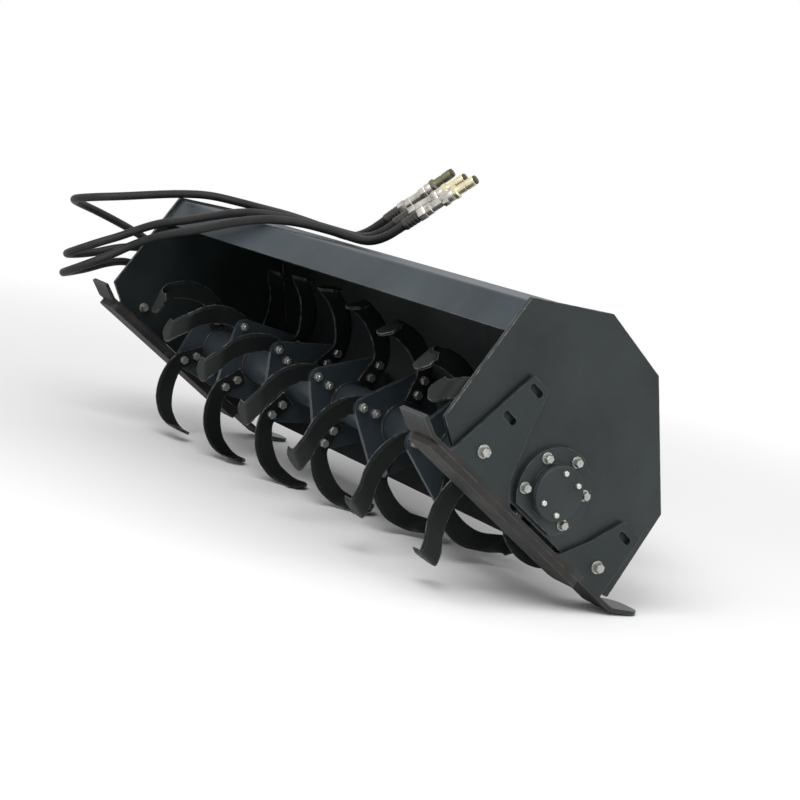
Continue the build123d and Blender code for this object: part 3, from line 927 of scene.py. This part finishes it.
@dataclass
class TineBlade:
    """One sickle tine: a flat stem whose end is bent along the axle, ground on its front edge.

    The edges are points (along the stem, across it) from the axis. Past the bend they go on
    in the flat pattern, where a distance is measured along the bent face.
    """

    front: tuple[Pair, ...] = (
        (60, -24), (100, -24), (140, -23), (179, 0), (209, 34), (228, 75), (234, 120), (226.5, 164.6),
    )
    back: tuple[Pair, ...] = (
        (60, 24), (97, 24), (134, 25), (160, 54), (178, 89), (188, 127), (188, 167), (178.4, 205.3),
    )
    stem_face: float = 6.0
    thickness: float = 8.0
    bend_radius: float = 42.0
    reach: float = 94.0
    corner_cut: float = 20.0
    rounding: float = 1.5
    front_rim: float = 1.2
    back_rim: float = 1.4
    grind: float = 10.0
    steps: int = 6

    def __post_init__(self) -> None:
        """Work out the bend's place from the blade's end."""
        (y0, z0), (y1, z1) = self.front[-1], self.back[-1]
        length = math.hypot(y1 - y0, z1 - z0)
        self.across = ((y1 - y0) / length, (z1 - z0) / length)
        self.up = (self.across[1], -self.across[0])
        self.bend_start = y0 * self.up[0] + z0 * self.up[1] - self.bend_radius
        self.bend_length = self.bend_radius * math.pi / 2.0
        self.end = self.bend_start + self.bend_length + self.reach - self.stem_face - self.bend_radius

    def flat(self, y: float, z: float) -> Pair:
        """Unroll a side-view point.

        Args:
            y: How far it lies along the stem from the axis.
            z: How far it lies across the stem.

        Returns:
            Its place in the flat pattern, as (along the bent face, across it).
        """
        high = y * self.up[0] + z * self.up[1]
        rise = min(1.0, max(0.0, (high - self.bend_start) / self.bend_radius))
        along = min(high, self.bend_start) + self.bend_radius * math.asin(rise)
        return along, y * self.across[0] + z * self.across[1]

    def bent(self, along: float, across: float, depth: float) -> Point:
        """Bend a point of the flat pattern.

        Args:
            along: Its place along the bent face.
            across: Its place across it.
            depth: How far it is inside the face.

        Returns:
            Its X, Y and Z from the axis.
        """
        angle = min(max(along - self.bend_start, 0.0) / self.bend_radius, math.pi / 2.0)
        radius = self.bend_radius - depth
        past = max(0.0, along - self.bend_start - self.bend_length)
        x = self.stem_face + self.bend_radius - radius * math.cos(angle) + past
        high = min(along, self.bend_start) + radius * math.sin(angle)
        return x, high * self.up[0] + across * self.across[0], high * self.up[1] + across * self.across[1]

    def edge(self, corners: Sequence[Pair], inward: float) -> list[Pair]:
        """A smooth edge in the flat pattern, with the cut corner at its end.

        Args:
            corners: The edge's side-view points, root first.
            inward: The way to the blade's middle, 1 or -1.

        Returns:
            Its points, root first.
        """
        knots = [self.flat(y, z) for y, z in corners]
        last = knots[-1][1]
        knots.append((self.end - self.corner_cut, last))
        line = []
        for i in range(len(knots) - 1):
            near = [knots[min(max(i + k, 0), len(knots) - 1)] for k in (-1, 0, 1, 2)]
            for n in range(self.steps):
                line.append(tuple(catmull_rom(*parts, n / self.steps) for parts in zip(*near)))
        cuts = (self.corner_cut - self.rounding, self.corner_cut)
        ends = ((self.end - self.corner_cut + cut, last + inward * cut) for cut in cuts)
        return [*line, knots[-1], *ends]

    def forge(self, draft: Draft, x0: float, turn: float, hand: int) -> None:
        """Add one blade to a draft.

        Args:
            draft: The mesh that takes it.
            x0: X of its flange.
            turn: The stem's angle about the axle, in degrees from the rear upwards.
            hand: 1 to bend its end to the right, -1 to the left.
        """
        front, back = self.edge(self.front, 1.0), self.edge(self.back, -1.0)
        cos, sin = math.cos(math.radians(turn)), math.sin(math.radians(turn))
        y0, z0 = Machine.AXIS
        sheets = ([], [])
        for row, (lead, trail) in enumerate(zip(front, back)):
            width = math.dist(lead, trail)
            ground = min(1.0, max(0.0, (row - 2.2 * self.steps) / (1.2 * self.steps)))
            last = row == len(front) - 1
            rim = self.front_rim + (self.grind - self.front_rim) * ground
            # Across the blade: the ground front edge, the flat face and the rounded back edge.
            places = (0.0, rim / width, 0.3, 0.55, 0.8, 1.0 - self.back_rim / width, 1.0)
            lows = (1.0 + 2.4 * ground, 0.0, 0.0, 0.0, 0.0, 0.0, 1.1)
            highs = (1.0 + 2.0 * ground, 0.0, 0.0, 0.0, 0.0, 0.0, 1.1)
            for sheet, depths in zip(sheets, (lows, [self.thickness - cut for cut in highs])):
                line = []
                for share, depth in zip(places, depths):
                    if last:
                        depth = min(max(depth, self.rounding), self.thickness - self.rounding)
                    along, across = (p + (q - p) * share for p, q in zip(lead, trail))
                    x, y, z = self.bent(along, across, depth)
                    spot = draft.machine.point(x0 + hand * x, y0 + y * cos - z * sin, z0 + y * sin + z * cos)
                    line.append(draft.mesh.verts.new(spot))
                sheet.append(line)
        low, high = sheets
        faces = draft.mesh.faces
        for sheet in sheets:
            for first, second in zip(sheet, sheet[1:]):
                for j in range(len(first) - 1):
                    faces.new((first[j], first[j + 1], second[j + 1], second[j]))
        for j in (0, -1):
            for i in range(len(low) - 1):
                faces.new((low[i][j], low[i + 1][j], high[i + 1][j], high[i][j]))
        for i in (0, -1):
            for j in range(len(low[0]) - 1):
                faces.new((low[i][j], low[i][j + 1], high[i][j + 1], high[i][j]))


@dataclass
class Rotor:
    """The rotor: its shaft, the tines and the bolts that hold them."""

    machine: Machine
    stations: int = 7
    end_inset: float = 118.5
    plate_inner: float = 904.5
    tines_each: int = 4
    tube_radius: float = 53.0
    flange_half: float = 6.0
    tine_thickness: float = 8.0
    bolt_radii: tuple[float, ...] = (85.0, 125.0)
    bolt_across: float = 21.0
    shank: tuple[Pair, ...] = ((-24.0, 6.3), (17.0, 6.3), (18.5, 5.0))
    weld_inset: float = 1.5
    weld_radius: float = 4.6
    weld_points: int = 66
    park_angle: float = 32.9129
    heel_angle: float = 36.0
    contact_station: float = 2.5

    def station_x(self, i: int) -> float:
        """X of flange number i, counted from the left."""
        pitch = 2.0 * (self.plate_inner - self.end_inset) / (self.stations - 1)
        return (i - (self.stations - 1) / 2.0) * pitch

    def root_angle(self, i: int) -> float:
        """Angle of the first tine's root on flange i, in degrees from the rear upwards."""
        helix = 360.0 / (self.stations * self.tines_each)
        return self.park_angle - 90.0 + (i - self.contact_station) * helix - self.heel_angle

    def hand(self, i: int, k: int) -> int:
        """The side of flange i that its tine k is bolted to: 1 for the right and -1 for the left."""
        inwards = {0: 1, self.stations - 1: -1}
        return inwards.get(i, 1 if k % 2 == 0 else -1)

    def bolts(self, i: int) -> None:
        """Put two bolts and nuts through each tine of flange i.

        Args:
            i: The flange's number, counted from the left.
        """
        draft = Draft(self.machine)
        x = self.station_x(i)
        for k in range(self.tines_each):
            hand = self.hand(i, k)
            angle = self.root_angle(i) + 360.0 * k / self.tines_each
            head, nut = x + hand * (self.flange_half + self.tine_thickness), x - hand * self.flange_half
            for n, radius in enumerate(self.bolt_radii):
                y, z = around(Machine.AXIS, radius, angle)
                draft.bolt((head, y, z), (hand, 0, 0), self.bolt_across, turn=23.0 * (k + 2 * n + i))
                draft.bolt((nut, y, z), (-hand, 0, 0), self.bolt_across, turn=31.0 * (k + n) + 11.0 * i)
                draft.lathe(self.machine.point(nut, y, z), self.machine.way(-hand, 0, 0), self.shank, 14)
        draft.make(f"tine_bolts_{i + 1}", "rotor", Finish.DULL_BOLT, "zinc_fitting")

    def welds(self) -> None:
        """Run a bead round the tube at each face of each flange."""
        draft = Draft(self.machine)
        axis = self.machine.way(1, 0, 0)
        outs = circle(axis, axis.orthogonal().normalized(), self.weld_points)
        radius = (self.tube_radius + self.weld_inset) * MM
        for i in range(self.stations):
            for face in (-1, 1):
                x = self.station_x(i) + face * (self.flange_half + self.weld_inset)
                centre = self.machine.point(x, *Machine.AXIS)
                draft.bead([centre + out * radius for out in (*outs, outs[0])], self.weld_radius)
        draft.make("flange_welds", "rotor", Finish.WELD, "rotor_paint")

    def build(self) -> None:
        """Dress the rotor, and put its tines and their bolts on."""
        self.machine.dress(Finish.ROTOR.material(), "rotor_shaft")
        blade = TineBlade()
        for i in range(self.stations):
            draft = Draft(self.machine)
            for k in range(self.tines_each):
                turn = self.root_angle(i) + 360.0 * k / self.tines_each
                blade.forge(draft, self.station_x(i), turn, self.hand(i, k))
            row = draft.make(f"tine_row_{i + 1}", "rotor", Finish.TINES, "tine_steel", sharp=17.0)
            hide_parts(f"tines_{i + 1}")
            self.bolts(i)
        self.welds()


@dataclass
class Bearing:
    """The bearing on the right end plate, with its ring and cap bolts.

    A bolt is its size across flats, and its washer's radius where it has one.
    """

    machine: Machine
    ring_face: float = 926.5
    cap_face: float = 948.5
    ring_radius: float = 82.0
    ring_angles: tuple[float, ...] = (150.0, 90.0, 30.0, -30.0, -150.0)
    ring_bolt: Pair = (18.5, 13.5)
    cap_radius: float = 47.0
    cap_angles: tuple[float, ...] = (60.0, 120.0, -60.0, -120.0)
    cap_bolt: float = 12.0

    def build(self) -> None:
        """Dress the housing and cap and bolt them."""
        self.machine.dress(Finish.CASTING.material(), "bearing_housing", "bearing_cap")
        ring, cap = Draft(self.machine), Draft(self.machine)
        for angle in self.ring_angles:
            place = (self.ring_face, *around(Machine.AXIS, self.ring_radius, angle))
            ring.bolt(place, (1, 0, 0), *self.ring_bolt, turn=angle * 1.7)
        ring.make("bearing_ring_bolts", "frame", Finish.DULL_BOLT, "zinc_fitting")
        for angle in self.cap_angles:
            place = (self.cap_face, *around(Machine.AXIS, self.cap_radius, angle))
            cap.bolt(place, (1, 0, 0), self.cap_bolt, turn=angle)
        cap.make("bearing_cap_bolts", "frame", Finish.ZINC, "zinc_fitting")


@dataclass
class ChainDrive:
    """The chain case on the left end plate, its cover and the motor.

    A bolt is its size across flats, and its washer's radius where it has one. The outlines of
    the motor's band and lid start from its face or its end, and from its radius.
    """

    machine: Machine
    cover_face: float = -990.5
    low_radius: float = 74.0
    high_radius: float = 66.0
    rim_inset: float = 11.0
    cover_bolt: Pair = (13.0, 10.5)
    motor_centre: Pair = (215.0, 205.0)
    motor_flange: float = 18.0
    motor_radius: float = 54.0
    motor_length: float = 110.0
    motor_bolt: float = 17.0
    motor_bolt_reach: float = 45.0
    band: tuple[Pair, ...] = ((0.0, 0.0), (1.0, 2.0), (7.0, 2.0), (8.0, 0.0))
    band_starts: tuple[float, ...] = (18.0, 62.0, 92.0)
    lid: tuple[Pair, ...] = ((-1.0, -9.0), (3.0, -9.0), (5.0, -12.0))

    def cover_bolts(self) -> None:
        """Put small bolts round the cover's rim."""
        draft = Draft(self.machine)
        low, high = Machine.AXIS, self.motor_centre
        line = math.degrees(math.atan2(high[1] - low[1], high[0] - low[0]))
        places = [(low, self.low_radius, line + 90.0 + 45.0 * k) for k in range(5)]
        places += [(high, self.high_radius, line - 90.0 + 90.0 * k) for k in (0, 2)]
        for centre, radius, angle in places:
            place = (self.cover_face, *around(centre, radius - self.rim_inset, angle))
            draft.bolt(place, (-1, 0, 0), *self.cover_bolt, turn=angle)
        draft.make("chain_cover_bolts", "frame", Finish.ZINC, "zinc_fitting")

    def motor_details(self) -> None:
        """Bolt the motor's flange and ring its body."""
        y, z = self.motor_centre
        face = self.cover_face - self.motor_flange
        bolts, rings = Draft(self.machine), Draft(self.machine)
        for across, up in ((-1, -1), (1, -1), (1, 1), (-1, 1)):
            dy, dz = across * self.motor_bolt_reach, up * self.motor_bolt_reach
            bolts.bolt((face, y + dy, z + dz), (-1, 0, 0), self.motor_bolt, turn=dy + 2.0 * dz)
        bolts.make("motor_bolts", "frame", Finish.ZINC, "zinc_fitting")
        foot, out = self.machine.point(face, y, z), self.machine.way(-1, 0, 0)
        for start in self.band_starts:
            rings.lathe(foot, out, moved(self.band, start, self.motor_radius), 48)
        rings.lathe(foot, out, moved(self.lid, self.motor_length, self.motor_radius), 48)
        rings.make("motor_rings", "frame", Finish.MOTOR, "cast_housing")

    def build(self) -> None:
        """Dress the drive."""
        self.machine.dress(Finish.FRAME.material(), "chain_case", "chain_cover")
        self.machine.dress(Finish.MOTOR.material(), "drive_motor")
        self.machine.dress(Finish.ZINC.material(), "motor_ports")
        self.cover_bolts()
        self.motor_details()


@dataclass
class Skids:
    """The two skids with their worn soles."""

    machine: Machine
    tab_inner: float = 919.5
    sole_top: float = -12.0
    tab_feet: tuple[Pair, ...] = ((2.0, 214.0), (390.0, 558.0))
    weld_inset: float = 1.0
    weld_radius: float = 3.4

    def build(self) -> None:
        """Dress the skids and weld their tabs."""
        up = self.machine.way(0, 0, 1)
        level = up.dot(self.machine.point(0.0, 0.0, self.sole_top))
        steel = replace(Finish.SKID_SOLE.value, name="skid_scuffed", up=tuple(up), level=level).build()
        for side, name in SIDES:
            self.machine.dress(steel, f"skid_{name}")
            self.machine.dress(Finish.SKID_SOLE.material(), f"wear_bar_{name}")
            draft = Draft(self.machine)
            x, z = side * (self.tab_inner - self.weld_inset), self.sole_top + self.weld_inset
            for y0, y1 in self.tab_feet:
                draft.weld((x, y0, z), (x, y1, z), self.weld_radius)
            draft.make(f"skid_welds_{name}", f"skid_{name}", Finish.WELD, "skid_steel")


@dataclass
class LoaderPlate:
    """The quick-attach plate on the rear and its gussets. A weld is its (radius, ripple pitch)."""

    machine: Machine
    half_width: float = 566.5
    gusset_inset: float = 26.5
    gusset_count: int = 4
    gusset_half: float = 6.0
    front: float = 598.0
    low: float = 62.0
    high: float = 480.0
    hood_line: tuple[Pair, ...] = ((578.5, 34.0), (564.0, 224.0), (324.0, 438.5))
    weld_inset: float = 1.5
    plate_weld: Pair = (4.0, 5.5)
    hood_weld: Pair = (3.6, 5.5)

    def build(self) -> None:
        """Dress the plate and weld its gussets."""
        self.machine.dress(Finish.MOUNT.material(), "mount_plate")
        self.machine.dress(Finish.FRAME.material(), "mount_gussets")
        draft = Draft(self.machine)
        span = self.half_width - self.gusset_inset
        for i in range(self.gusset_count):
            centre = span * (2.0 * i / (self.gusset_count - 1) - 1.0)
            for face in (-1, 1):
                x = centre + face * (self.gusset_half + self.weld_inset)
                y = self.front - self.weld_inset
                draft.weld((x, y, self.low), (x, y, self.high), *self.plate_weld)
                for low, high in zip(self.hood_line, self.hood_line[1:]):
                    draft.weld((x, *low), (x, *high), *self.hood_weld)
        draft.make("gusset_welds", "frame", Finish.WELD, "frame_paint")


@dataclass
class Hoses:
    """The three hydraulic hoses from the motor to their couplers over the hood.

    The outlines of the couplers' parts are (along the axis, radius) from the hose's end, and
    a hex is (low end, high end, radius to its corners). The routes start at the cover's face.
    """

    machine: Machine
    cover_face: float = -990.5
    radius: float = 12.0
    lengths: tuple[float, ...] = (1.77, 1.68, 1.75)
    run_into_coupler: float = 78.0
    port_rib: tuple[Pair, ...] = ((0.0, 15.6), (5.0, 15.6), (6.0, 14.2), (7.0, 14.2))
    rib: tuple[Pair, ...] = ((0.0, 15.0), (6.5, 15.0), (7.5, 13.9), (9.0, 13.9))
    hexes: tuple[Point, ...] = ((48.0, 70.0, 17.6), (120.0, 138.0, 17.4))
    sleeves: tuple[tuple[Pair, ...], ...] = (
        ((69.0, 12.0), (71.0, 15.0), (86.0, 15.0), (88.0, 13.2), (118.0, 13.2), (121.0, 13.2)),
        ((137.0, 14.0), (139.0, 16.0), (155.0, 16.0), (157.0, 14.5)),
    )
    plug: tuple[Pair, ...] = (
        (156.0, 13.0), (157.0, 17.4), (159.0, 18.0), (166.0, 18.0), (168.0, 16.4), (169.5, 13.6),
        (172.0, 12.8), (190.0, 12.8), (191.0, 11.6), (194.0, 11.6), (195.0, 12.8), (216.0, 12.8),
        (219.0, 11.8),
    )
    plug_cap: tuple[Pair, ...] = ((214.0, 9.0), (218.5, 11.0), (221.0, 12.2), (224.0, 11.6), (226.0, 9.0))
    routes: tuple[tuple[Point, ...], ...] = (
        (
            (-110, 113, 228), (-110, 46, 228), (-124, -28, 218), (-138, -100, 202), (-136, -172, 182),
            (-108, -230, 162), (-56, -268, 150), (6, -280, 154), (62, -262, 182), (96, -218, 228),
            (108, -156, 290), (110, -90, 352), (118, -22, 408), (164, 42, 444), (256, 76, 462),
            (390, 90, 470), (530, 98, 469), (650, 101, 464), (714, 102, 461), (768, 102, 465),
            (818, 101, 491), (851, 100, 538),
        ),
        (
            (-66, 113, 205), (-66, 50, 205), (-74, -8, 184), (-90, -52, 140), (-104, -88, 88),
            (-92, -134, 44), (-54, -174, 18), (0, -196, 14), (54, -196, 40), (88, -176, 88),
            (108, -146, 140), (134, -124, 192), (192, -112, 234), (290, -104, 265), (410, -100, 306),
            (535, -80, 362), (650, -8, 413), (750, 40, 436), (820, 62, 446), (872, 71, 453),
            (920, 74, 476), (952, 75, 521),
        ),
        (
            (-100, 113, 150), (-100, 54, 150), (-108, 2, 130), (-116, -38, 86), (-112, -74, 34),
            (-88, -116, -8), (-44, -150, -32), (10, -170, -36), (62, -170, -10), (92, -152, 36),
            (110, -130, 86), (134, -114, 136), (186, -104, 180), (270, -102, 216), (380, -100, 248),
            (510, -98, 297), (630, -79, 352), (728, -36, 393), (818, 12, 419), (900, 35, 427),
            (962, 42, 432), (1016, 43, 457), (1052, 44, 505),
        ),
    )

    def hose(self, name: str, points: Sequence[Vector]) -> bpy.types.Object:
        """Lay one hose as a smooth spline.

        Args:
            name: The piece's name.
            points: Its control points, in metres.

        Returns:
            The hose.
        """
        curve = bpy.data.curves.new(name, "CURVE")
        curve.dimensions = "3D"
        curve.bevel_depth = self.radius * MM
        curve.bevel_resolution = 5
        curve.resolution_u = 12
        curve.use_fill_caps = True
        spline = curve.splines.new("NURBS")
        spline.points.add(len(points) - 1)
        for place, point in zip(spline.points, points):
            place.co = (*point, 1.0)
        spline.order_u = 3
        spline.use_endpoint_u = True
        hose = placed(name, curve)
        curve.materials.append(Finish.HOSE.material())
        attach(hose, "frame")
        return hose

    def crimp(self, name: str, start: Vector, axis: Vector) -> bpy.types.Object:
        """Crimp a ferrule on the hose where it leaves its port.

        Args:
            name: The piece's name.
            start: The hose's start, in metres.
            axis: The hose's way there.

        Returns:
            The ferrule.
        """
        draft = Draft(self.machine)
        ribs = [point for k in range(5) for point in moved(self.port_rib, 4.0 + 8.0 * k)]
        draft.lathe(start, axis, [(-1.0, 11.0), (0.0, 14.5), *ribs, (45.0, 14.6), (48.0, 12.4)], 28)
        return draft.make(name, "frame", Finish.FERRULE, "zinc_fitting")

    def coupler(self, number: int, start: Vector, axis: Vector) -> list[bpy.types.Object]:
        """Build one coupler: crimped ferrule, hexes and sleeve, and the plug tip.

        Args:
            number: Which coupler it is.
            start: The hose's end, in metres.
            axis: The hose's way there.

        Returns:
            Its pieces, the body first.
        """
        ferrule, body, tip, cap = (Draft(self.machine) for _ in range(4))
        ribs = [point for k in range(4) for point in moved(self.rib, 5.0 + 10.0 * k)]
        crimped = [(-2.0, 12.3), (0.0, 14.0), (3.0, 15.0), *ribs, (46.0, 14.8), (48.5, 14.8)]
        ferrule.lathe(start, axis, crimped, 32)
        for (low, high, corner), turn in zip(self.hexes, (14.0 * number, 14.0 * number + 22.0)):
            edge = corner - 1.2
            nut = ((low, edge), (low + 1.5, corner), (high - 1.5, corner), (high, edge))
            body.lathe(start, axis, nut, 6, turn)
        for sleeve in self.sleeves:
            body.lathe(start, axis, sleeve, 32)
        tip.lathe(start, axis, self.plug, 36)
        cap.lathe(start, axis, self.plug_cap, 32)
        # Coupler 1's tip wears the darker copy of the brass: painted shade for the coupler that lies behind.
        tip_finish = Finish.BRONZE if number == 1 else Finish.BRASS
        pieces = [
            body.make(f"coupler_body_{number}", "frame", Finish.SLEEVE, "zinc_fitting"),
            ferrule.make(f"coupler_ferrule_{number}", "frame", Finish.FERRULE, "zinc_fitting"),
            tip.make(f"coupler_tip_{number}", "frame", tip_finish, "coupler_brass"),
            cap.make(f"coupler_cap_{number}", "frame", Finish.CAP, "hose_rubber"),
        ]
        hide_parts(f"coupler_{number}")
        return pieces

    def build(self) -> None:
        """Lay the three hoses and put their ends on."""
        for number, (route, length) in enumerate(zip(self.routes, self.lengths), start=1):
            points = [self.machine.point(self.cover_face + x, y, z) for x, y, z in route]
            way = (points[-1] - points[-2]).normalized()
            end = points[-1] + way * (self.run_into_coupler * MM)
            hose = self.hose(f"hose_cover_{number}", [*points, end])
            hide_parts(f"hose_{number}")
            crimp = self.crimp(f"port_crimp_{number}", points[0], points[1] - points[0])
            ends = self.coupler(number, points[-1], way)
            LOG.info("hose_cover_%d: %.3f m", number, length)


# ---- the scene ------------------------------------------------------------------------------


def main() -> None:
    """Build the scene's parts in order and note their sizes."""
    logging.basicConfig(level=logging.INFO, format="%(message)s")
    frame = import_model()
    machine = Machine(frame)
    Studio().build()
    for kind in (Hoses, EndPlates, Hood, Rotor, Bearing, ChainDrive, Skids, LoaderPlate):
        kind(machine).build()
        LOG.info("%s done", kind.__name__)


if __name__ == "__main__":
    main()
